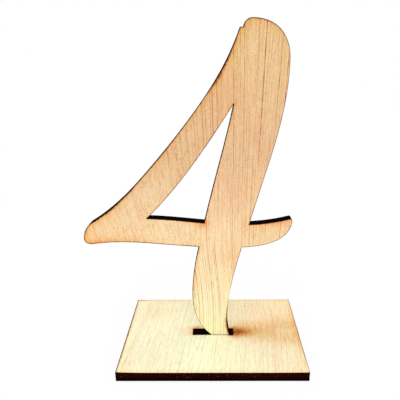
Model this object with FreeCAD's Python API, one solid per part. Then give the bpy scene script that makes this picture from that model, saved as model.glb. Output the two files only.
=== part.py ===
import FreeCAD, Part
import os

from FreeCAD import Vector

# A table number: a plywood numeral that stands by its tab in the slot of a plywood base.
# Sizes are in millimetres. X runs to the right, Y away from the reader and Z up.
# The origin is the middle of the base's underside, where the base rests on the table.

# Plywood sheet, from which the base and the numeral are both cut
sheet_thickness = 5.2
face_ply_thickness = 0.7

# Base
base_width = 100.0
base_depth = 65.0

# Slot through the base, and the numeral's tab in it
slot_length = 23.2
tab_side_gap = 0.2  # at the tab's left end and at its right end
tab_front_gap = 0.45
tab_back_gap = 0.1
tab_recess = 0.3  # from the base's underside up to the tab's end

# The numeral's heights are above the base's top. Its "right" sizes are measured to the
# right of the slot's middle and its "left" sizes to the left of it.
numeral_height = 168.55

# Stem: the long stroke, which leans to the right and narrows into the foot
foot_right = 4.3
foot_width = 10.6
ankle_height = 11.0
ankle_left = 0.05
ankle_width = 16.9
belly_height = 30.0
belly_left = 0.55
belly_width = 21.0
waist_height = 55.0
waist_right = 4.2
waist_width = 23.0
chest_height = 95.0
chest_right = 14.5
chest_width = 24.4
shoulder_height = 126.0
shoulder_right = 22.2
shoulder_width = 24.4

# Head of the stem: a wide round on the right of the crown and a tight one on its left
crown_right = 19.0
crown_left_round = 3.9
crown_left_drop = 4.7
crown_right_round = 17.6
crown_right_drop = 18.0

# Crossbar: sags a little towards the stem, then sweeps up into the tail on the right
crossbar_height = 56.3
crossbar_low_right = 14.0
crossbar_depth = 14.4
crossbar_sag = 1.5
crossbar_middle_left = 20.0
tail_root_right = 20.0
tail_root_depth = 13.1
tail_middle_right = 30.0
tail_middle_rise = 2.1
tail_middle_depth = 11.9
tail_end_right = 38.0
tail_end_rise = 6.4
tail_reach = 42.1
tail_tip_rise = 15.0
tail_tip_round = 1.2

# Toe: the blunt left end, where the crossbar and the arm meet
toe_reach = 67.9
toe_top_left = 62.3
toe_top_rise = 14.9
toe_side_rise = 5.2
toe_upper_round = 6.8
toe_lower_round = 4.2
toe_bottom_rise = 2.3
instep_left = 52.0
instep_rise = 3.4

# Arm: the slanting stroke from the toe up to the notch beside the head
notch_drop = 3.8
arm_top_right = 13.6
arm_upper_height = 148.0
arm_upper_right = 5.9
arm_upper_width = 15.5
arm_middle_height = 125.0
arm_middle_left = 9.7
arm_middle_width = 16.7
arm_lower_height = 100.0
arm_lower_left = 30.6
arm_lower_width = 20.2
arm_end_height = 82.0
arm_end_left = 48.1
arm_end_width = 22.9
arm_root_left = 39.8
arm_root_depth = 3.0

# Share of the way to a corner at which a smooth round leaves each side
roundness = 0.61


def at(right, height):
    """A point of the numeral's outline, in the sheet's middle plane."""
    return Vector(right, 0, sheet_thickness + height)


def smooth_edge(points):
    """One flowing edge through the points."""
    curve = Part.BSplineCurve()
    curve.interpolate(points)
    return curve.toShape()


def round_edge(start, corner, end):
    """A quarter round that takes the place of a corner."""
    curve = Part.BezierCurve()
    start_pull = start + (corner - start) * roundness
    end_pull = end + (corner - end) * roundness
    curve.setPoles([start, start_pull, end_pull, end])
    return curve.toShape()


def outline_face(edges):
    """The flat face inside a run of edges that goes round it anticlockwise, seen from the front."""
    return Part.Face(Part.Wire(edges))


def stem_face():
    stations = [
        (0.0, foot_right, foot_width),
        (ankle_height, -ankle_left, ankle_width),
        (belly_height, -belly_left, belly_width),
        (waist_height, waist_right, waist_width),
        (chest_height, chest_right, chest_width),
        (shoulder_height, shoulder_right, shoulder_width),
    ]
    left_side = [at(centre - width / 2, height) for height, centre, width in stations]
    right_side = [at(centre + width / 2, height) for height, centre, width in stations]
    crown = at(crown_right, numeral_height)
    head_left = crown + Vector(-crown_left_round, 0, -crown_left_drop)
    head_right = crown + Vector(crown_right_round, 0, -crown_right_drop)
    left_corner = crown + Vector(-crown_left_round, 0, 0)
    right_corner = crown + Vector(crown_right_round, 0, 0)
    left_side.append(head_left)
    right_side.append(head_right)
    return outline_face([
        smooth_edge(right_side),
        round_edge(head_right, right_corner, crown),
        round_edge(crown, left_corner, head_left),
        smooth_edge(left_side[::-1]),
        Part.makeLine(left_side[0], right_side[0]),
    ])


def toe_top():
    return at(-toe_top_left, crossbar_height + toe_top_rise)


def crossbar_face():
    toe_side = at(-toe_reach, crossbar_height + toe_side_rise)
    toe_bottom = at(toe_lower_round - toe_reach, crossbar_height + toe_bottom_rise)
    toe_upper_corner = toe_side + Vector(0, 0, toe_upper_round)
    toe_lower_corner = at(-toe_reach, crossbar_height + toe_bottom_rise)
    instep = at(-instep_left, crossbar_height + instep_rise)
    middle = at(-crossbar_middle_left, crossbar_height + crossbar_sag)
    lowest = at(crossbar_low_right, crossbar_height)
    tail_middle = at(tail_middle_right, crossbar_height + tail_middle_rise)
    tail_end = at(tail_end_right, crossbar_height + tail_end_rise)
    tip_side = at(tail_reach, crossbar_height + tail_tip_rise)
    tip_corner = tip_side + Vector(0, 0, tail_tip_round)
    tip_top = tip_corner - Vector(tail_tip_round, 0, 0)
    tail_middle_top = tail_middle + Vector(0, 0, tail_middle_depth)
    tail_root_top = at(tail_root_right, crossbar_height + tail_root_depth)
    middle_top = middle + Vector(0, 0, crossbar_depth)
    arm_side_top = at(-instep_left, crossbar_height + crossbar_depth + crossbar_sag)
    return outline_face([
        round_edge(toe_top(), toe_upper_corner, toe_side),
        round_edge(toe_side, toe_lower_corner, toe_bottom),
        smooth_edge([toe_bottom, instep, middle, lowest, tail_middle, tail_end, tip_side]),
        round_edge(tip_side, tip_corner, tip_top),
        smooth_edge([tip_top, tail_middle_top, tail_root_top, middle_top, arm_side_top]),
        Part.makeLine(arm_side_top, toe_top()),
    ])


def arm_face():
    notch_height = numeral_height - notch_drop
    notch = [at(crown_right, notch_height), at(arm_top_right, notch_height)]
    stations = [
        (arm_upper_height, arm_upper_right, arm_upper_width),
        (arm_middle_height, -arm_middle_left, arm_middle_width),
        (arm_lower_height, -arm_lower_left, arm_lower_width),
        (arm_end_height, -arm_end_left, arm_end_width),
    ]
    outer_side = [at(outside, height) for height, outside, width in stations]
    inner_side = [at(outside + width, height) for height, outside, width in stations]
    root = at(-arm_root_left, crossbar_height + crossbar_depth - arm_root_depth)
    return outline_face([
        smooth_edge([notch[1]] + outer_side + [toe_top()]),
        Part.makeLine(toe_top(), root),
        smooth_edge([root] + inner_side[::-1]),
        Part.makeLine(inner_side[0], notch[0]),
        Part.makeLine(*notch),
    ])


def tab_face():
    half = slot_length / 2 - tab_side_gap
    depth = sheet_thickness - tab_recess
    corners = [at(-half, 0), at(-half, -depth), at(half, -depth), at(half, 0)]
    return Part.Face(Part.makePolygon(corners + corners[:1]))


def numeral_face():
    whole = stem_face().multiFuse([crossbar_face(), arm_face(), tab_face()])
    return whole.removeSplitter().Faces[0]


def base_layer(bottom, thickness):
    """One layer of the base, with the slot through it."""
    slot_front = -sheet_thickness / 2 - tab_front_gap
    slot_width = tab_front_gap + sheet_thickness + tab_back_gap
    sheet_corner = Vector(-base_width / 2, -base_depth / 2, bottom)
    slot_corner = Vector(-slot_length / 2, slot_front, bottom)
    sheet = Part.makeBox(base_width, base_depth, thickness, sheet_corner)
    return sheet.cut(Part.makeBox(slot_length, slot_width, thickness, slot_corner))


def numeral_layer(outline, front, thickness):
    """One layer of the numeral, from its front plane backwards."""
    placed = outline.translated(Vector(0, front, 0))
    return placed.extrude(Vector(0, thickness, 0))


def build():
    core_thickness = sheet_thickness - 2 * face_ply_thickness
    front_plane = -sheet_thickness / 2
    core_front = front_plane + face_ply_thickness
    core_back = core_front + core_thickness
    core_top = face_ply_thickness + core_thickness
    outline = numeral_face()
    return {
        "base_bottom_veneer": base_layer(0.0, face_ply_thickness),
        "base_core": base_layer(face_ply_thickness, core_thickness),
        "base_top_veneer": base_layer(core_top, face_ply_thickness),
        "numeral_front_veneer": numeral_layer(outline, front_plane, face_ply_thickness),
        "numeral_core": numeral_layer(outline, core_front, core_thickness),
        "numeral_back_veneer": numeral_layer(outline, core_back, face_ply_thickness),
    }


os.makedirs("parts", exist_ok=True)
for name, shape in build().items():
    shape.exportStep(os.path.join("parts", name + ".step"))
    print(name, len(shape.Solids), "solid, valid:", shape.isValid())
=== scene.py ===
import math

import bpy
import numpy as np
from mathutils import Matrix, Vector
from mathutils.geometry import delaunay_2d_cdt


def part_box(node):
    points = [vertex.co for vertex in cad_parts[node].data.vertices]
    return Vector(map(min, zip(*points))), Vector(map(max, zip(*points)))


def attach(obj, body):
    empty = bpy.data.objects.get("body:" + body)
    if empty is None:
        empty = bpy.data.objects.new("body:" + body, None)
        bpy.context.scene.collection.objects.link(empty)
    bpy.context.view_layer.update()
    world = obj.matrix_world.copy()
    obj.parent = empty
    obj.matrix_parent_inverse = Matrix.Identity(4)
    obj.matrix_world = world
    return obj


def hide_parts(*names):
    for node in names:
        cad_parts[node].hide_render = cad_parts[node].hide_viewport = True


# A plywood table number: the numeral stands by its tab in the slot of a flat base. The plies
# come from the frame. This script gives their faces the grain of the veneer and the scorching
# of the laser cut, and chars their cut edges. Lengths are in metres, but the materials and
# their values work in millimetres.

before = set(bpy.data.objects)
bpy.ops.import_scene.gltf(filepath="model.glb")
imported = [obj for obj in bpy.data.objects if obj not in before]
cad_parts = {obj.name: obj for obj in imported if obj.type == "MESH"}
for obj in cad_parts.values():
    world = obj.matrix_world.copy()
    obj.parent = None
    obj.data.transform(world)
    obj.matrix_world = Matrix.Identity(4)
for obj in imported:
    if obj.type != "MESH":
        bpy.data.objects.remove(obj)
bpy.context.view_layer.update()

MM = 0.001
MM_PER_METRE = 1000.0

# Camera: the picture is square, and its optical axis meets it a little right of its middle
PICTURE_PIXELS = 400
FOCAL_PIXELS = 400.7
AXIS_PIXEL_X = 212.5
SENSOR_WIDTH_MM = 36.0
CLIP_START = 0.01
CAMERA_PLACE = (0.00298, -0.19527, 0.15846)
CAMERA_LEFT_DEGREES = 0.698
CAMERA_DOWN_DEGREES = 19.948
CAMERA_ROLL_DEGREES = -0.578

# White room and its lamp
ROOM_LIGHT = 0.94
LAMP_PLACE = (-0.10, -1.35, 2.25)
LAMP_AIM = (0.0, 0.0, 0.05)
LAMP_SIZE = 1.80
LAMP_POWER = 21.5  # watts

# White table top
TABLE_SIZE = 4.0
TABLE_COLOR = 0.90
TABLE_OWN_WHITE = 0.92  # share of its white that no shadow takes away near the base
TABLE_SHADE = (0.14, 0.35)  # distances from the base's middle between which that share grows to 1
# Painted contact shade: a thin dark line painted on the table top where it meets the base, wherever the
# table is little open to the room
PAINTED_CONTACT_SHADE = 0.05
CONTACT_SHADE_REACH = 0.0007
CONTACT_SHADE_OPENNESS = (0.55, 0.90)  # openness to the room in the line of contact, and clear of it

# Fine mesh of each face ply
MESH_PITCH = 1.3 * MM
EDGE_CLEARANCE = 0.45 * MM
SAME_POINT = 0.001 * MM
SAME_DIRECTION = 0.99  # least cosine between the normals of a triangle and its face
MESH_TOLERANCE_MM = 1e-6
TRIANGLES_INSIDE = 1  # asks the triangulation for what is inside its outlines

# Materials, in millimetres. A range is the two values between which something changes from 0
# to 1, or from a third value to a fourth. A noise is its turns per millimetre across, through
# and along the grain, and the number of its finer layers. Places across and along the grain
# are X and Z on the numeral, and X and Y on the base.

# Which of X, Y and Z run across, through and along the grain
NUMERAL_GRAIN_AXES = (0, 1, 2)
BASE_GRAIN_AXES = (0, 2, 1)

# Colours, as linear red, green and blue
# The numeral's ground colours hold painted light: besides the veneer's own tone, they grow paler and
# yellower down towards the foot, standing in for the brighter light near the base.
NUMERAL_TONES_WITH_PAINTED_LIGHT = [  # place up the numeral, then the ground colour of its veneer there
    (5.0, (1.000, 0.990, 0.645)),
    (25.0, (1.000, 0.942, 0.622)),
    (45.0, (0.995, 0.845, 0.550)),
    (72.0, (0.948, 0.735, 0.455)),
    (85.0, (0.898, 0.666, 0.420)),
    (115.0, (0.804, 0.555, 0.327)),
    (170.0, (0.824, 0.592, 0.324)),
]
# The base's ground colours hold painted light: from the slot back they are redder and lighter, making up
# for the shade that the numeral casts behind it.
BASE_TONES_WITH_PAINTED_LIGHT = [  # the same from the base's front to its back
    (-32.0, (0.915, 0.995, 0.730)),
    (-8.0, (0.910, 0.965, 0.700)),
    (8.0, (0.965, 0.970, 0.700)),
    (32.0, (0.965, 0.975, 0.700)),
]
LINE_TINT = (0.46, 0.16, 0.04)
FIBRE_TINT = (0.79, 0.63, 0.44)
FLECK_TINT = (0.62, 0.44, 0.22)
SPECK_TINT = (0.76, 0.70, 0.62)
ROSY_TINT = (1.00, 0.915, 0.910)
STRAW_TINT = (0.98, 1.00, 0.91)
AMBER_TINT = (0.965, 0.780, 0.560)
HAZE_TINT = (0.990, 0.820, 0.760)
SMOKE_TINT = (0.70, 0.43, 0.22)
CHAR_TINT = (0.58, 0.46, 0.36)
EMBER_COLOR = (0.019, 0.0015, 0.0010)
ASH_COLOR = (0.10, 0.06, 0.05)

# Marks of the veneer
WANDER_NOISE = (0.02, 0.02, 0.012, 0.0)
WANDER_WIDTH = 1.5
PATCH_NOISE = (0.26, 0.1, 0.030, 2.0)
ROSY_RANGE = (0.50, 0.75)
STRAW_RANGE = (0.50, 0.25)
FIBRE_NOISE = (2.6, 0.5, 0.13, 1.0)
FIBRE_RANGE = (0.30, 0.75)
FLECK_NOISE = (3.0, 0.6, 0.42, 1.0)
FLECK_RANGE = (0.52, 0.76)
SPECK_NOISE = (2.6, 2.6, 1.7, 1.0)
SPECK_RANGE = (0.35, 0.80)

# Grain lines: each strip of the veneer holds one
BOLD_LINES = (2.9, 0.26)  # width of the strips, then of their lines
FAINT_LINES = (1.45, 0.24)
FAINT_SHARE = 0.62  # of a bold line's strength
STRIP_MARGIN = 0.1  # share of its strip that a line stays clear of at each side
LINE_FADE = (0.25, 0.75)  # shares of its width, out from its middle, between which a line fades
LINE_WEIGHTS = (0.35, 1.15)  # of the weakest line and the strongest
WEIGHT_SHUFFLE = 17.0  # makes a line's weight from its seat in the strip
STRIP_STEP = 7.3  # distance in the noise between one strip and the next
LINE_REACH_NOISE = (1.0, 1.0, 0.018, 0.0)
LINE_REACH_RANGE = (0.35, 0.50)
LINE_WAVER_NOISE = (1.0, 1.0, 0.16, 2.0)
LINE_WAVER_RANGE = (0.35, 0.65, 0.50, 1.0)

# Numeral's grain: how it drifts, as ranges across the numeral or up its height
TOE_SLANT = (-42.0, 10.0, -0.15, 0.0)
HEAD_SLANT = (12.0, 34.0, 0.0, 0.05)
SLANT_HEIGHT = 55.0  # a slant moves the grain above here and below it
SLANT_DROP = 12.0  # how far below it goes on
BELLY_BEND = (22.0, 66.0, 2.6, 0.0)
STEM_LEAN = (30.0, 75.0, 10.0, 0.0)  # how much further left the stem stands at its foot

# Numeral's grain: how strong each mark is, as ranges across the numeral or up its height
FOOT_LINES = (12.0, 34.0, -0.40, 0.0)
BELLY_LINES = (45.0, 72.0, 1.12, 0.92)
HEAD_LINES = (85.0, 150.0, 0.0, 0.10)
ARM_TO_STEM_LINES = (-15.0, 8.0, 0.45, 1.0)
ARM_TO_STEM_FIBRES = (-15.0, 8.0, 0.32, 0.38)
ARM_TO_STEM_FLECKS = (-15.0, 8.0, 0.54, 0.24)
TOE_FLECKS = (-66.0, -42.0, 0.50, 1.0)
FOOT_CALM = (30.0, 62.0, 0.5, 1.0)
NUMERAL_LINE_BREAKS = 1.0
NUMERAL_SPECKS = 0.8

# Base's grain: its slant, which is mostly lost at the back right, and its marks
BASE_SLANT = 0.10
BASE_SLANT_LOST = 0.08
SLANT_LOST_ACROSS = (0.0, 20.0)
SLANT_LOST_BACKWARDS = (-5.0, 25.0)
BASE_GRAIN_DENSITY = (0.56, 1.0, 0.42)  # across, through and along it, with the numeral's as 1
BASE_MARKS = {"Lines": 0.28, "Line Breaks": 12.0, "Fibres": 0.20, "Flecks": 0.38, "Specks": 0.20}

# Scorching beside the cut
RAGGED_NOISE = (0.9, 0.9, 0.35, 3.0)
HALO_REACH = (2.4, 0.7)  # the first times the ragged noise, plus the second
SMOKE_EVENNESS = 0.5  # added to the ragged noise that clouds the smoke
HAZE_LIMIT = 0.25  # smoke up to here is a rosy haze, and what goes beyond it browns the wood
DOTTED_NOISE = (1.3, 1.3, 0.9, 2.0)
CHAR_UNEVENNESS = (1.6, 0.2)  # the first times the dotted noise, plus the second
CHAR_REACH = 0.52  # share of the char's width at which its coats are down to about a third
CHAR_STEEPNESS = 1.4
CHAR_COATS = 7.0  # of the char's tint, right at the cut
CHAR_ROUGHNESS = (0.5, 4.0, 0.60, 0.85)  # range over its coats

# Cut edges, where the turns of a noise are along X, Y and Z
NUMERAL_EDGE = {
    "char": (0.0014, 0.0005, 0.0004),
    "ember_turns": (0.12, 1.2, 0.12),
    "ember_beside": 1.6,
    "ember_above": 0.15,
}
BASE_EDGE = {
    "char": (0.0022, 0.0003, 0.0003),
    "ember_turns": (0.15, 0.15, 0.5),
    "ember_beside": 1.0,
    "ember_above": 1.0,
}
EMBER_NOISE = (1.0, 1.0, 1.0, 3.0)  # times the ember turns of the edge
EMBER_RANGE = (0.30, 0.60, 0.35, 1.0)
EMBER_HEIGHT = (0.6, 2.4)  # above the table top
EMBER_FACING = (0.3, 0.8)  # how far upwards an edge faces, between beside and above
ASH_NOISE = (1.4, 1.4, 1.6, 0.0)
ASH_RANGE = (0.77, 0.82)
RIPPLE_NOISE = (2.5, 2.5, 0.6, 2.0)
RIPPLE_ROUGHNESS = (0.3, 0.7, 0.75, 0.95)

# Relief, with its depth in metres, and gloss
PORE_BUMP = {"Strength": 0.3, "Distance": 0.02 * MM}
RIPPLE_BUMP = {"Strength": 0.4, "Distance": 0.1 * MM}
VENEER_SPECULAR = 0.06
EDGE_SPECULAR = 0.005

# Inputs of the scorching, and the value kept at each point of a sheet that feeds them
SCORCH_FIELDS = {"Distance": "cut_distance", "Halo": "halo", "Smoke": "smoke", "Char Width": "char_width"}

# Scorching of each sheet: its level everywhere, then the spots where it is stronger or weaker.
# A spot is its place across and along, its reach across and along, and the change.
NUMERAL_SCORCH = {
    "halo": (0.10, [
        (22.0, 175.0, 9.0, 6.0, 0.9),  # crown
        (34.0, 168.0, 8.0, 6.0, 0.2),  # head, upper right
        (38.0, 140.0, 8.0, 14.0, 0.2),  # head, right side
        (12.0, 166.0, 9.0, 9.0, 1.2),  # notch
        (3.0, 148.0, 9.0, 10.0, 1.2),  # arm, down its outer side
        (-10.0, 130.0, 9.0, 10.0, 0.5),
        (-24.0, 113.0, 9.0, 10.0, 1.0),
        (-38.0, 97.0, 9.0, 10.0, 0.6),
        (-54.0, 83.0, 9.0, 9.0, 1.5),
        (-66.0, 71.0, 6.0, 7.0, 1.5),  # toe
        (-62.0, 62.0, 8.0, 6.0, 1.7),  # toe, lower side
        (-46.0, 63.0, 12.0, 6.0, 1.1),  # instep
        (-9.0, 63.0, 5.0, 4.0, 0.4),  # crossbar, lower side at the stem
        (-5.0, 76.0, 3.5, 3.0, 1.0),  # counter, lower right corner
        (26.0, 75.0, 7.0, 4.0, 0.5),  # tail, upper side
        (36.0, 77.0, 6.0, 5.0, 0.9),  # tail, tip
        (-12.0, 42.0, 2.5, 9.0, 0.9),  # belly, left side
    ]),
    "smoke": (0.0, [
        (17.0, 142.0, 12.0, 10.0, 0.04),  # head
        (2.0, 143.0, 8.0, 10.0, 0.12),  # arm, upper end
        (15.0, 95.0, 9.0, 8.0, 0.10),  # chest
        (-48.0, 69.0, 9.0, 5.0, 0.10),  # instep
        (-5.0, 75.5, 2.5, 2.0, 0.45),  # counter, lower right corner
        (21.0, 69.0, 5.0, 4.0, 0.12),  # tail, root
        (32.0, 76.0, 9.0, 2.5, 0.30),  # tail, upper side
        (8.0, 56.0, 5.0, 4.0, 0.14),  # waist, right side
        (9.0, 50.0, 6.0, 8.0, 0.07),
        (-11.0, 45.0, 2.0, 7.0, 0.25),  # belly, left side
        (7.0, 26.0, 4.0, 12.0, 0.10),  # belly, right side
    ]),
    "char_width": (0.32, [
        (26.0, 174.0, 9.0, 5.0, 0.12),  # crown
        (36.0, 120.0, 9.0, 40.0, -0.07),  # head and chest, right side
        (9.0, 157.0, 4.0, 7.0, 0.48),  # arm, down its outer side
        (4.0, 149.0, 3.5, 5.0, 0.70),
        (-24.0, 113.0, 8.0, 8.0, 0.14),
        (-42.0, 93.0, 3.0, 3.0, 0.30),
        (-52.0, 84.5, 7.0, 5.0, 0.50),
        (-67.0, 72.0, 6.0, 6.0, 0.20),  # toe
        (-45.0, 61.0, 18.0, 4.0, 0.16),  # crossbar, lower side
        (-9.0, 66.0, 4.0, 4.0, 0.25),  # crossbar, lower side at the stem
        (-38.0, 70.0, 6.0, 3.0, 0.20),  # crossbar, below the counter's left corner
        (-1.0, 124.0, 3.0, 5.0, 0.22),  # counter, upper corner on the arm
        (7.5, 123.0, 3.0, 4.0, -0.14),  # counter, upper corner on the stem
        (4.0, 98.0, 4.0, 16.0, -0.14),  # counter, right side
        (-11.0, 38.0, 3.0, 8.0, 0.15),  # belly, left side
        (10.0, 34.0, 4.0, 8.0, -0.12),  # belly, right side
        (9.0, 31.0, 4.0, 5.0, -0.14),
        (9.0, 21.0, 4.0, 3.0, 0.15),  # ankle, right side
        (9.0, 12.0, 4.0, 5.0, 0.95),
        (-7.0, 15.0, 5.0, 8.0, -0.12),  # ankle, left side
    ]),
}
BASE_SCORCH = {
    "halo": (0.10, [
        (-12.5, 0.0, 2.5, 3.0, 1.5),  # slot, left end
        (-8.0, 4.0, 5.0, 1.5, 1.0),  # slot, back
        (2.0, 4.0, 5.0, 1.5, 0.7),
        (50.0, 6.0, 6.0, 24.0, 1.6),  # right edge
        (-50.0, -10.0, 4.0, 30.0, 0.6),  # left edge
        (0.0, 32.5, 50.0, 3.0, 0.3),  # back edge
        (0.0, -32.5, 60.0, 2.0, 0.45),  # front edge
    ]),
    "smoke": (0.08, [
        (-15.0, 1.0, 4.0, 3.0, 0.14),  # slot, left end
        (-9.5, 3.6, 1.5, 0.9, 0.8),  # slot, back
        (12.0, 3.2, 1.4, 1.0, 0.7),
        (15.0, 6.5, 4.0, 3.0, 0.12),
        (13.5, -0.6, 2.6, 2.4, 1.9),  # slot, right end
        (18.0, 0.0, 4.0, 2.4, 1.0),  # streak from there to the right edge
        (24.0, 1.0, 9.0, 6.0, 0.46),
        (38.0, 1.0, 10.0, 7.5, 0.45),
        (42.0, 0.5, 8.0, 3.2, -0.32),
        (52.0, 1.0, 9.0, 8.0, 0.42),
        (0.0, -7.0, 6.0, 3.5, -0.09),  # in front of the slot
        (-7.0, 8.0, 5.0, 30.0, -0.13),  # left of the middle, front to back
        (17.0, 30.0, 6.0, 5.0, -0.08),  # back edge
        (36.0, 24.0, 22.0, 11.0, 0.20),  # back right
        (42.0, -20.0, 18.0, 16.0, 0.16),  # front right
        (-38.0, 18.0, 6.0, 7.0, 0.10),  # back left
        (-40.0, -26.0, 14.0, 9.0, 0.06),  # front left
    ]),
    "char_width": (0.26, [
        (-50.0, 0.0, 6.0, 40.0, 0.48),  # left edge
        (50.0, 0.0, 6.0, 40.0, 0.08),  # right edge
        (0.0, 32.5, 60.0, 4.0, -0.12),  # back edge
        (0.0, -32.5, 60.0, 4.0, -0.24),  # front edge
        (0.0, -3.1, 12.0, 1.0, -0.20),  # slot, front
        (12.5, -1.0, 2.5, 3.0, 0.7),  # slot, right end
    ]),
}


# Steps that the materials are built from


def feed(tree, socket, value):
    """Sets a socket, or links it where the value is another node's socket."""
    if isinstance(value, bpy.types.NodeSocket):
        tree.links.new(value, socket)
    elif socket.type == "RGBA" and len(value) == 3:
        socket.default_value = (*value, 1.0)
    else:
        socket.default_value = value


def add_node(tree, kind, settings, inputs):
    """A new node, with its settings by name and its inputs by name or number."""
    node = tree.nodes.new(kind)
    for name, value in settings.items():
        setattr(node, name, value)
    for name, value in inputs.items():
        feed(tree, node.inputs[name], value)
    return node


def calculate(tree, operation, *values):
    """The result of one step of arithmetic."""
    inputs = dict(enumerate(values))
    return add_node(tree, "ShaderNodeMath", {"operation": operation}, inputs).outputs[0]


def total(tree, first, *others):
    """The values added up."""
    for other in others:
        first = calculate(tree, "ADD", first, other)
    return first


def product(tree, first, *others):
    """The values times each other."""
    for other in others:
        first = calculate(tree, "MULTIPLY", first, other)
    return first


def spread(tree, value, low, high, to_low=0.0, to_high=1.0):
    """The value's smooth change over a range."""
    settings = {"interpolation_type": "SMOOTHSTEP"}
    inputs = {0: value, 1: low, 2: high, 3: to_low, 4: to_high}
    return add_node(tree, "ShaderNodeMapRange", settings, inputs).outputs[0]


def tint(tree, mode, amount, color, other):
    """The colour mixed with another. The numbers are those of the mix node's colour sockets."""
    settings = {"data_type": "RGBA", "blend_type": mode, "clamp_factor": True}
    inputs = {"Factor": amount, 6: color, 7: other}
    return add_node(tree, "ShaderNodeMix", settings, inputs).outputs[2]


def stained(tree, color, stain, amount):
    """The colour seen through that many coats of a stain."""
    inputs = {0: stain, 1: amount}
    coats = add_node(tree, "ShaderNodeVectorMath", {"operation": "POWER"}, inputs).outputs[0]
    return tint(tree, "MULTIPLY", 1.0, color, coats)


def fading(tree, distance, reach, steepness=1.0):
    """1 at the cut, falling away from it over the reach."""
    ratio = calculate(tree, "DIVIDE", distance, reach)
    drop = calculate(tree, "POWER", ratio, steepness)
    return calculate(tree, "EXPONENT", product(tree, drop, -1.0))


def scaled(tree, vector, across, through, along):
    """A vector with each of its numbers times another."""
    settings = {"operation": "MULTIPLY"}
    inputs = {0: vector, 1: (across, through, along)}
    return add_node(tree, "ShaderNodeVectorMath", settings, inputs).outputs[0]


def taken_apart(tree, vector):
    """A vector's three numbers."""
    return tuple(add_node(tree, "ShaderNodeSeparateXYZ", {}, {0: vector}).outputs)


def put_together(tree, numbers):
    """A vector from its numbers by slot, with 0 in the slots that have none."""
    return add_node(tree, "ShaderNodeCombineXYZ", {}, numbers).outputs[0]


def noise(tree, place, kind):
    """Smooth noise between 0 and 1 at the place."""
    *per_mm, layers = kind
    inputs = {"Vector": scaled(tree, place, *per_mm), "Scale": 1.0, "Detail": layers}
    return add_node(tree, "ShaderNodeTexNoise", {}, inputs).outputs[0]


def place_in_mm(tree):
    """The point on the object, in its own frame."""
    point = add_node(tree, "ShaderNodeTexCoord", {}, {}).outputs["Object"]
    return scaled(tree, point, MM_PER_METRE, MM_PER_METRE, MM_PER_METRE)


def kept_value(tree, name):
    """A value that the mesh keeps at each of its points."""
    return add_node(tree, "ShaderNodeAttribute", {"attribute_name": name}, {}).outputs["Fac"]


def new_group(name, inputs, outputs):
    """An empty node group, with the node that its inputs come from and the one its outputs go to."""
    group = bpy.data.node_groups.new(name, "ShaderNodeTree")
    for title, kind in inputs.items():
        group.interface.new_socket(title, in_out="INPUT", socket_type="NodeSocket" + kind)
    for title, kind in outputs.items():
        group.interface.new_socket(title, in_out="OUTPUT", socket_type="NodeSocket" + kind)
    return group, group.nodes.new("NodeGroupInput"), group.nodes.new("NodeGroupOutput")


def new_material(name):
    """A new material, with its node tree and its shader."""
    material = bpy.data.materials.new(name)
    material.use_nodes = True
    return material, material.node_tree, material.node_tree.nodes["Principled BSDF"]


# Grain, scorching and charred edges, which the numeral and the base share


def grain_lines(tree, across, run, strip_width, line_width):
    """Thin lines, one somewhere in each strip, of uneven strength and with gaps along their run."""
    strips = calculate(tree, "DIVIDE", across, strip_width)
    strip = calculate(tree, "FLOOR", strips)
    settings = {"noise_dimensions": "1D"}
    chance = add_node(tree, "ShaderNodeTexWhiteNoise", settings, {"W": strip}).outputs["Value"]
    seat = calculate(tree, "MULTIPLY_ADD", chance, 1.0 - 2.0 * STRIP_MARGIN, STRIP_MARGIN)
    offset = calculate(tree, "SUBTRACT", calculate(tree, "FRACT", strips), seat)
    away = product(tree, calculate(tree, "ABSOLUTE", offset), strip_width)
    fade_start, fade_end = LINE_FADE
    line = spread(tree, away, fade_start * line_width, fade_end * line_width, 1.0, 0.0)
    shuffled = calculate(tree, "FRACT", product(tree, chance, WEIGHT_SHUFFLE))
    weight = spread(tree, shuffled, 0.0, 1.0, *LINE_WEIGHTS)
    lane = put_together(tree, {0: product(tree, strip, STRIP_STEP), 2: run})
    reach = spread(tree, noise(tree, lane, LINE_REACH_NOISE), *LINE_REACH_RANGE)
    waver = spread(tree, noise(tree, lane, LINE_WAVER_NOISE), *LINE_WAVER_RANGE)
    return product(tree, line, weight, reach, waver)


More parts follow.
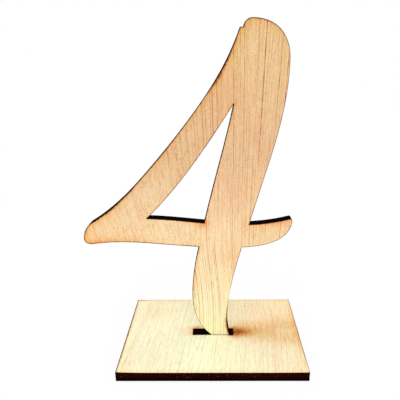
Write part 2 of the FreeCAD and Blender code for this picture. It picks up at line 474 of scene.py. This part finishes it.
def make_grain_group():
    """Open-pored veneer: rosy and straw patches, specks, long reddish lines, fibres and flecks."""
    group, given, made = new_group(
        "veneer_grain",
        {"Place": "Vector", "Ground": "Color", "Lines": "Float", "Line Breaks": "Float",
         "Fibres": "Float", "Flecks": "Float", "Specks": "Float"},
        {"Color": "Color", "Height": "Float"},
    )
    place = given.outputs["Place"]
    straight, through, along = taken_apart(group, place)
    wander = calculate(group, "SUBTRACT", noise(group, place, WANDER_NOISE), 0.5)
    across = calculate(group, "MULTIPLY_ADD", wander, WANDER_WIDTH, straight)
    flow = put_together(group, {0: across, 1: through, 2: along})
    run = product(group, along, given.outputs["Line Breaks"])
    bold = grain_lines(group, across, run, *BOLD_LINES)
    faint = grain_lines(group, across, run, *FAINT_LINES)
    line = calculate(group, "MAXIMUM", bold, product(group, faint, FAINT_SHARE))
    fibre = spread(group, noise(group, flow, FIBRE_NOISE), *FIBRE_RANGE)
    fleck = spread(group, noise(group, flow, FLECK_NOISE), *FLECK_RANGE)
    speck = spread(group, noise(group, place, SPECK_NOISE), *SPECK_RANGE)
    patch = noise(group, flow, PATCH_NOISE)
    color = given.outputs["Ground"]
    soft_marks = (
        (spread(group, patch, *ROSY_RANGE), ROSY_TINT),
        (spread(group, patch, *STRAW_RANGE), STRAW_TINT),
        (product(group, speck, given.outputs["Specks"]), SPECK_TINT),
    )
    for shown, mark_tint in soft_marks:
        color = tint(group, "MULTIPLY", shown, color, mark_tint)
    height = 0.0
    sunk_marks = (
        (line, "Lines", LINE_TINT),
        (fibre, "Fibres", FIBRE_TINT),
        (fleck, "Flecks", FLECK_TINT),
    )
    for mark, amount, mark_tint in sunk_marks:
        shown = product(group, mark, given.outputs[amount])
        color = tint(group, "MULTIPLY", shown, color, mark_tint)
        height = calculate(group, "SUBTRACT", height, shown)
    feed(group, made.inputs["Color"], color)
    feed(group, made.inputs["Height"], height)
    return group


def make_scorch_group():
    """Amber halo, smoke stain and char that the laser leaves beside its cut."""
    group, given, made = new_group(
        "laser_scorch",
        {"Place": "Vector", "Color": "Color", "Distance": "Float", "Halo": "Float",
         "Smoke": "Float", "Char Width": "Float"},
        {"Color": "Color", "Roughness": "Float"},
    )
    place, distance = given.outputs["Place"], given.outputs["Distance"]
    ragged = noise(group, place, RAGGED_NOISE)
    halo_reach = calculate(group, "MULTIPLY_ADD", ragged, *HALO_REACH)
    amber = product(group, fading(group, distance, halo_reach), given.outputs["Halo"])
    cloud = product(group, given.outputs["Smoke"], total(group, ragged, SMOKE_EVENNESS))
    haze = calculate(group, "DIVIDE", calculate(group, "MINIMUM", cloud, HAZE_LIMIT), HAZE_LIMIT)
    browning = calculate(group, "MAXIMUM", calculate(group, "SUBTRACT", cloud, HAZE_LIMIT), 0.0)
    unevenness = calculate(group, "MULTIPLY_ADD", noise(group, place, DOTTED_NOISE), *CHAR_UNEVENNESS)
    char_reach = product(group, given.outputs["Char Width"], unevenness, CHAR_REACH)
    char = product(group, fading(group, distance, char_reach, CHAR_STEEPNESS), CHAR_COATS)
    color = given.outputs["Color"]
    stains = ((AMBER_TINT, amber), (HAZE_TINT, haze), (SMOKE_TINT, browning), (CHAR_TINT, char))
    for stain, coats in stains:
        color = stained(group, color, stain, coats)
    feed(group, made.inputs["Color"], color)
    feed(group, made.inputs["Roughness"], spread(group, char, *CHAR_ROUGHNESS))
    return group


def make_edge_group():
    """Charred cut edge: nearly black, with ember-brown patches, ash specks and the laser's ripples."""
    group, given, made = new_group(
        "charred_edge",
        {"Place": "Vector", "Ember Place": "Vector", "Char": "Color", "Embers": "Float"},
        {"Color": "Color", "Roughness": "Float", "Height": "Float"},
    )
    place = given.outputs["Place"]
    patch = spread(group, noise(group, given.outputs["Ember Place"], EMBER_NOISE), *EMBER_RANGE)
    ember = product(group, patch, given.outputs["Embers"])
    color = tint(group, "MIX", ember, given.outputs["Char"], EMBER_COLOR)
    ash = spread(group, noise(group, place, ASH_NOISE), *ASH_RANGE)
    color = tint(group, "MIX", product(group, ash, ember), color, ASH_COLOR)
    ripple = noise(group, place, RIPPLE_NOISE)
    feed(group, made.inputs["Color"], color)
    feed(group, made.inputs["Roughness"], spread(group, ripple, *RIPPLE_ROUGHNESS))
    feed(group, made.inputs["Height"], ripple)
    return group


# Veneer faces and cut edges


def grain_place(tree, axes):
    """The point on the object, turned so that its numbers run across, through and along the grain."""
    numbers = taken_apart(tree, place_in_mm(tree))
    return put_together(tree, {slot: numbers[axis] for slot, axis in enumerate(axes)})


def drifted(tree, place, drift):
    """The place from which the grain has drifted here, that far to the right."""
    inputs = {0: place, 1: put_together(tree, {0: drift})}
    return add_node(tree, "ShaderNodeVectorMath", {"operation": "SUBTRACT"}, inputs).outputs[0]


def numeral_drift(tree, across, height):
    """The drift of the numeral's grain: it fans out from the toe to the head and bends at the belly."""
    slant = total(tree, spread(tree, across, *TOE_SLANT), spread(tree, across, *HEAD_SLANT))
    rise = calculate(tree, "MAXIMUM", calculate(tree, "SUBTRACT", height, SLANT_HEIGHT), -SLANT_DROP)
    return total(tree, product(tree, slant, rise), spread(tree, height, *BELLY_BEND))


def numeral_grain(tree, place):
    """The numeral's grain: lines strongest on the belly, flecks on the arm, and a calm foot."""
    across, _, height = taken_apart(tree, place)
    past_arm = total(tree, across, spread(tree, height, *STEM_LEAN))
    levels = [spread(tree, height, *lines) for lines in (FOOT_LINES, BELLY_LINES, HEAD_LINES)]
    calm = spread(tree, height, *FOOT_CALM)
    flecks = product(tree, spread(tree, past_arm, *ARM_TO_STEM_FLECKS), calm)
    return {
        "Place": drifted(tree, place, numeral_drift(tree, across, height)),
        "Lines": product(tree, spread(tree, past_arm, *ARM_TO_STEM_LINES), total(tree, *levels)),
        "Line Breaks": NUMERAL_LINE_BREAKS,
        "Fibres": product(tree, spread(tree, past_arm, *ARM_TO_STEM_FIBRES), calm),
        "Flecks": product(tree, flecks, spread(tree, across, *TOE_FLECKS)),
        "Specks": NUMERAL_SPECKS,
    }


def base_drift(tree, across, depth):
    """The drift of the base's grain: it leans right going back, and straightens at the back right."""
    straightened = product(tree, spread(tree, across, *SLANT_LOST_ACROSS),
                           spread(tree, depth, *SLANT_LOST_BACKWARDS))
    slant = calculate(tree, "MULTIPLY_ADD", straightened, -BASE_SLANT_LOST, BASE_SLANT)
    return product(tree, slant, depth)


def base_grain(tree, place):
    """The base's grain: wider and fainter marks than the numeral's, with its lines broken into dashes."""
    across, _, depth = taken_apart(tree, place)
    run = drifted(tree, place, base_drift(tree, across, depth))
    return {"Place": scaled(tree, run, *BASE_GRAIN_DENSITY), **BASE_MARKS}


def tone_ramp(tree, position, tones_with_painted_light):
    """The ground colour, with the painted light that the tones hold, by position along the grain."""
    low, high = tones_with_painted_light[0][0], tones_with_painted_light[-1][0]
    share = add_node(tree, "ShaderNodeMapRange", {}, {0: position, 1: low, 2: high}).outputs[0]
    ramp = add_node(tree, "ShaderNodeValToRGB", {}, {0: share})
    ramp.color_ramp.interpolation = "EASE"
    elements = ramp.color_ramp.elements
    while len(elements) < len(tones_with_painted_light):
        elements.new(0.5)
    for element, (where, color) in zip(elements, tones_with_painted_light):
        element.position = (where - low) / (high - low)
        element.color = (*color, 1.0)
    return ramp.outputs[0]


def make_veneer_material(name, axes, tones_with_painted_light, grain_of, grain_group, scorch_group):
    """A sheet's face: the ground colour of the veneer with painted light in it, its grain, and the
    scorching over both.
    """
    material, tree, shader = new_material(name)
    place = grain_place(tree, axes)
    grain_inputs = grain_of(tree, place)
    grain_inputs["Ground"] = tone_ramp(tree, taken_apart(tree, place)[2], tones_with_painted_light)
    grain = add_node(tree, "ShaderNodeGroup", {"node_tree": grain_group}, grain_inputs)
    scorch_inputs = {title: kept_value(tree, field) for title, field in SCORCH_FIELDS.items()}
    scorch_inputs["Place"] = place
    scorch_inputs["Color"] = grain.outputs["Color"]
    scorch = add_node(tree, "ShaderNodeGroup", {"node_tree": scorch_group}, scorch_inputs)
    pores = add_node(tree, "ShaderNodeBump", {}, {**PORE_BUMP, "Height": grain.outputs["Height"]})
    feed(tree, shader.inputs["Base Color"], scorch.outputs["Color"])
    feed(tree, shader.inputs["Roughness"], scorch.outputs["Roughness"])
    feed(tree, shader.inputs["Normal"], pores.outputs[0])
    shader.inputs["Specular IOR Level"].default_value = VENEER_SPECULAR
    return material


def make_edge_material(name, edge_group, char, ember_turns, ember_beside, ember_above):
    """A sheet's cut edge: charred, with embers that end just above the table top.

    The embers have one strength where the edge faces sideways and another where it faces up.
    """
    material, tree, shader = new_material(name)
    place = place_in_mm(tree)
    above_foot = spread(tree, taken_apart(tree, place)[2], *EMBER_HEIGHT)
    normal = add_node(tree, "ShaderNodeNewGeometry", {}, {}).outputs["Normal"]
    facing = spread(tree, taken_apart(tree, normal)[2], *EMBER_FACING, ember_beside, ember_above)
    edge_inputs = {
        "Place": place,
        "Ember Place": scaled(tree, place, *ember_turns),
        "Char": char,
        "Embers": product(tree, above_foot, facing),
    }
    edge = add_node(tree, "ShaderNodeGroup", {"node_tree": edge_group}, edge_inputs)
    ripples = add_node(tree, "ShaderNodeBump", {}, {**RIPPLE_BUMP, "Height": edge.outputs["Height"]})
    feed(tree, shader.inputs["Base Color"], edge.outputs["Color"])
    feed(tree, shader.inputs["Roughness"], edge.outputs["Roughness"])
    feed(tree, shader.inputs["Normal"], ripples.outputs[0])
    shader.inputs["Specular IOR Level"].default_value = EDGE_SPECULAR
    return material


# Fine mesh of a face ply


def face_directions(normal):
    """The axis that a flat face looks along, and the two that it lies in."""
    normal_axis = [abs(number) for number in normal].index(1)
    return normal_axis, [axis for axis in range(3) if axis != normal_axis]


def face_loops(node, normal):
    """The closed outlines of a node's flat face with that normal, as flat points."""
    _, face_axes = face_directions(normal)
    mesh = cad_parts[node].data
    mesh.calc_loop_triangles()
    points = np.array([vertex.co for vertex in mesh.vertices])
    corners = np.array([triangle.vertices for triangle in mesh.loop_triangles])
    normals = np.array([triangle.normal for triangle in mesh.loop_triangles])
    cells = np.round(points / SAME_POINT).astype(np.int64)
    _, first, merged = np.unique(cells, axis=0, return_index=True, return_inverse=True)
    corners = merged.reshape(-1)[corners[normals @ np.array(normal) > SAME_DIRECTION]]
    sides = {(int(a), int(b)) for triangle in corners for a, b in zip(triangle, np.roll(triangle, -1))}
    following = {a: b for a, b in sides if (b, a) not in sides}
    loops = []
    while following:
        start, after = next(iter(following.items()))
        loop = [start]
        while after != start:
            loop.append(after)
            after = following.pop(after)
        following.pop(start)
        loops.append(points[first[loop]][:, face_axes])
    return loops


def sides_of(loop):
    """Each side of the loop, as its two ends."""
    return zip(loop, np.roll(loop, -1, axis=0))


def split_loop(loop):
    """The loop with its long sides divided."""
    made = []
    for a, b in sides_of(loop):
        pieces = max(1, math.ceil(np.linalg.norm(b - a) / MESH_PITCH))
        made += [a + (b - a) * k / pieces for k in range(pieces)]
    return np.array(made)


def side_distance(points, loops):
    """Each point's distance to the nearest side of the loops."""
    nearest = np.full(len(points), np.inf)
    for loop in loops:
        for a, b in sides_of(loop):
            side = b - a
            share = np.clip((points - a) @ side / (side @ side), 0, 1)
            nearest = np.minimum(nearest, np.linalg.norm(points - a - share[:, None] * side, axis=1))
    return nearest


def is_inside(points, loops):
    """Whether a line from each point crosses the loops an odd number of times."""
    crossings = np.zeros(len(points), int)
    for loop in loops:
        for a, b in sides_of(loop):
            spans = (a[1] > points[:, 1]) != (b[1] > points[:, 1])
            rise = b[1] - a[1] if b[1] != a[1] else 1.0
            meets = a[0] + (points[:, 1] - a[1]) * (b[0] - a[0]) / rise
            crossings += spans & (points[:, 0] < meets)
    return crossings % 2 == 1


def inner_points(loops):
    """A staggered grid of points inside the loops, clear of their sides."""
    everything = np.concatenate(loops)
    low, high = everything.min(0), everything.max(0)
    row_step = MESH_PITCH * math.sqrt(3) / 2
    grid = np.array([
        (x + MESH_PITCH / 2 * (row % 2), y)
        for row, y in enumerate(np.arange(low[1], high[1], row_step))
        for x in np.arange(low[0], high[0], MESH_PITCH)
    ])
    grid = grid[is_inside(grid, loops)]
    return grid[side_distance(grid, loops) > EDGE_CLEARANCE]


def filled(loops):
    """Flat points and the small triangles between them that fill the loops."""
    flat = np.concatenate([*loops, inner_points(loops)])
    sides, start = [], 0
    for loop in loops:
        sides += [(start + k, start + (k + 1) % len(loop)) for k in range(len(loop))]
        start += len(loop)
    given = [Vector(point * MM_PER_METRE) for point in flat]
    solved = delaunay_2d_cdt(given, sides, [], TRIANGLES_INSIDE, MESH_TOLERANCE_MM)
    flat = np.array([tuple(point) for point in solved[0]]) / MM_PER_METRE
    triangles = np.array([face for face in solved[2] if len(face) == 3])
    return flat, triangles[is_inside(flat[triangles].mean(1), loops)]


def ply_planes(node, normal):
    """Where a face ply's outer plane lies, and its inner one."""
    normal_axis, _ = face_directions(normal)
    low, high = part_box(node)
    planes = (high[normal_axis], low[normal_axis])
    return planes if normal[normal_axis] > 0 else planes[::-1]


def thickened(flat, triangles, normal, planes):
    """Points, faces and rim walls of a closed sheet between its outer plane and its inner one."""
    normal_axis, face_axes = face_directions(normal)
    count = len(flat)
    points = np.zeros((2, count, 3))
    points[:, :, face_axes] = flat
    points[:, :, normal_axis] = np.reshape(planes, (2, 1))
    a, b, c = (points[0, triangles[:, corner]] for corner in range(3))
    face_inwards = (np.cross(b - a, c - a) @ np.array(normal)) < 0
    triangles[face_inwards] = triangles[face_inwards][:, ::-1]
    outer = [tuple(int(k) for k in triangle) for triangle in triangles]
    inner = [tuple(k + count for k in triangle[::-1]) for triangle in outer]
    sides = {(triangle[k], triangle[(k + 1) % 3]) for triangle in outer for k in range(3)}
    walls = [(v, u, u + count, v + count) for u, v in sides if (v, u) not in sides]
    return points.reshape(-1, 3), outer + inner, sorted(walls)


def summed_spots(points, level, spots):
    """A smooth field that has its level everywhere and rises or falls at the spots."""
    values = np.full(len(points), level)
    for across, along, reach_across, reach_along, change in spots:
        away = (points / MM - (across, along)) / (reach_across, reach_along)
        values += change * np.exp(-(away ** 2).sum(1) / 2)
    return np.maximum(values, 0.0)


def keep_values(mesh, name, values):
    """Keeps a value at each point of a sheet's outer plane, and the same at the point behind it."""
    layer = mesh.attributes.new(name, "FLOAT", "POINT")
    layer.data.foreach_set("value", np.tile(values, 2).astype(np.float32))


def make_sheet(name, node, body, normal, scorching, face_material, edge_material):
    """A face ply as a fine mesh that keeps its scorching and the distance to the cut at each point."""
    loops = [split_loop(loop) for loop in face_loops(node, normal)]
    flat, triangles = filled(loops)
    points, faces, walls = thickened(flat, triangles, normal, ply_planes(node, normal))
    mesh = bpy.data.meshes.new(name)
    mesh.from_pydata([tuple(point) for point in points], [], faces + walls)
    mesh.materials.append(face_material)
    mesh.materials.append(edge_material)
    mesh.polygons.foreach_set("material_index", [0] * len(faces) + [1] * len(walls))
    keep_values(mesh, "cut_distance", side_distance(flat, loops) / MM)
    for title, (level, spots) in scorching.items():
        keep_values(mesh, title, summed_spots(flat, level, spots))
    mesh.update()
    sheet = bpy.data.objects.new(name, mesh)
    bpy.context.scene.collection.objects.link(sheet)
    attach(sheet, body)
    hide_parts(node)


def set_material(node, material):
    """Gives the frame's own solid of a node its material."""
    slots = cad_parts[node].data.materials
    slots.clear()
    slots.append(material)


# Camera, white room, lamp and table top


def make_camera():
    data = bpy.data.cameras.new("camera")
    data.sensor_width = SENSOR_WIDTH_MM
    data.lens = SENSOR_WIDTH_MM * FOCAL_PIXELS / PICTURE_PIXELS
    data.shift_x = (PICTURE_PIXELS / 2 - AXIS_PIXEL_X) / PICTURE_PIXELS
    data.clip_start = CLIP_START
    camera = bpy.data.objects.new("camera", data)
    turn = Matrix.Rotation(math.radians(CAMERA_LEFT_DEGREES), 4, "Z")
    tilt = Matrix.Rotation(math.radians(90 - CAMERA_DOWN_DEGREES), 4, "X")
    roll = Matrix.Rotation(math.radians(CAMERA_ROLL_DEGREES), 4, "Z")
    camera.matrix_world = Matrix.Translation(CAMERA_PLACE) @ turn @ tilt @ roll
    bpy.context.scene.collection.objects.link(camera)
    bpy.context.scene.camera = camera


def seen_directly(tree):
    """1 for what the camera sees, also in gloss or through glass, and 0 for what only gives light."""
    path = add_node(tree, "ShaderNodeLightPath", {}, {})
    shown = calculate(tree, "MAXIMUM", path.outputs["Is Camera Ray"], path.outputs["Is Glossy Ray"])
    return calculate(tree, "MAXIMUM", shown, path.outputs["Is Transmission Ray"])


def make_room():
    """A room that looks pure white and lights the object a little less than that."""
    world = bpy.data.worlds.new("white_room")
    world.use_nodes = True
    tree = world.node_tree
    background = tree.nodes["Background"]
    background.inputs["Color"].default_value = (1.0, 1.0, 1.0, 1.0)
    strength = calculate(tree, "MULTIPLY_ADD", seen_directly(tree), 1.0 - ROOM_LIGHT, ROOM_LIGHT)
    feed(tree, background.inputs["Strength"], strength)
    bpy.context.scene.world = world


def make_lamp():
    data = bpy.data.lights.new("soft_lamp", "AREA")
    data.size = LAMP_SIZE
    data.energy = LAMP_POWER
    lamp = bpy.data.objects.new("soft_lamp", data)
    lamp.location = LAMP_PLACE
    lamp.rotation_euler = (Vector(LAMP_AIM) - Vector(LAMP_PLACE)).to_track_quat("-Z", "Y").to_euler()
    bpy.context.scene.collection.objects.link(lamp)


def make_table_material():
    """A white table top: as white as the room far away, with soft shade and a thin painted line of
    contact shade.
    """
    material, tree, shader = new_material("white_table")
    place = add_node(tree, "ShaderNodeTexCoord", {}, {}).outputs["Object"]
    far = add_node(tree, "ShaderNodeVectorMath", {"operation": "LENGTH"}, {0: place}).outputs[1]
    own_white = spread(tree, far, *TABLE_SHADE, TABLE_OWN_WHITE, 1.0)
    # Painted shade: close under the base, the table's colour turns dark and its own white fades out
    openness = add_node(tree, "ShaderNodeAmbientOcclusion", {}, {"Distance": CONTACT_SHADE_REACH})
    clear = spread(tree, openness.outputs["AO"], *CONTACT_SHADE_OPENNESS)
    feed(tree, shader.inputs["Base Color"], spread(tree, clear, 0.0, 1.0, PAINTED_CONTACT_SHADE, TABLE_COLOR))
    shader.inputs["Roughness"].default_value = 1.0
    shader.inputs["Specular IOR Level"].default_value = 0.0
    glow = add_node(tree, "ShaderNodeEmission", {}, {"Color": (1.0, 1.0, 1.0), "Strength": 1.0})
    share = product(tree, seen_directly(tree), own_white, clear)
    inputs = {0: share, 1: shader.outputs[0], 2: glow.outputs[0]}
    blend = add_node(tree, "ShaderNodeMixShader", {}, inputs)
    feed(tree, tree.nodes["Material Output"].inputs["Surface"], blend.outputs[0])
    return material


def make_table():
    half = TABLE_SIZE / 2
    corners = [(-half, -half, 0.0), (half, -half, 0.0), (half, half, 0.0), (-half, half, 0.0)]
    mesh = bpy.data.meshes.new("table_top")
    mesh.from_pydata(corners, [], [(0, 1, 2, 3)])
    mesh.materials.append(make_table_material())
    table = bpy.data.objects.new("table_top", mesh)
    bpy.context.scene.collection.objects.link(table)


# The numeral and the base, finished

veneer_grain = make_grain_group()
laser_scorch = make_scorch_group()
charred_edge = make_edge_group()
numeral_veneer = make_veneer_material(
    "numeral_veneer", NUMERAL_GRAIN_AXES, NUMERAL_TONES_WITH_PAINTED_LIGHT, numeral_grain, veneer_grain, laser_scorch)
base_veneer = make_veneer_material(
    "base_veneer", BASE_GRAIN_AXES, BASE_TONES_WITH_PAINTED_LIGHT, base_grain, veneer_grain, laser_scorch)
numeral_edge = make_edge_material("numeral_edge", charred_edge, **NUMERAL_EDGE)
base_edge = make_edge_material("base_edge", charred_edge, **BASE_EDGE)

for side, normal in (("front", (0, -1, 0)), ("back", (0, 1, 0))):
    make_sheet(f"numeral_{side}_sheet", f"numeral_{side}_veneer", "numeral", normal,
               NUMERAL_SCORCH, numeral_veneer, numeral_edge)
for side, normal in (("top", (0, 0, 1)), ("bottom", (0, 0, -1))):
    make_sheet(f"base_{side}_sheet", f"base_{side}_veneer", "base", normal,
               BASE_SCORCH, base_veneer, base_edge)
set_material("numeral_core", numeral_edge)
set_material("base_core", base_edge)

make_camera()
make_room()
make_lamp()
make_table()
bpy.context.scene.view_settings.view_transform = "Standard"
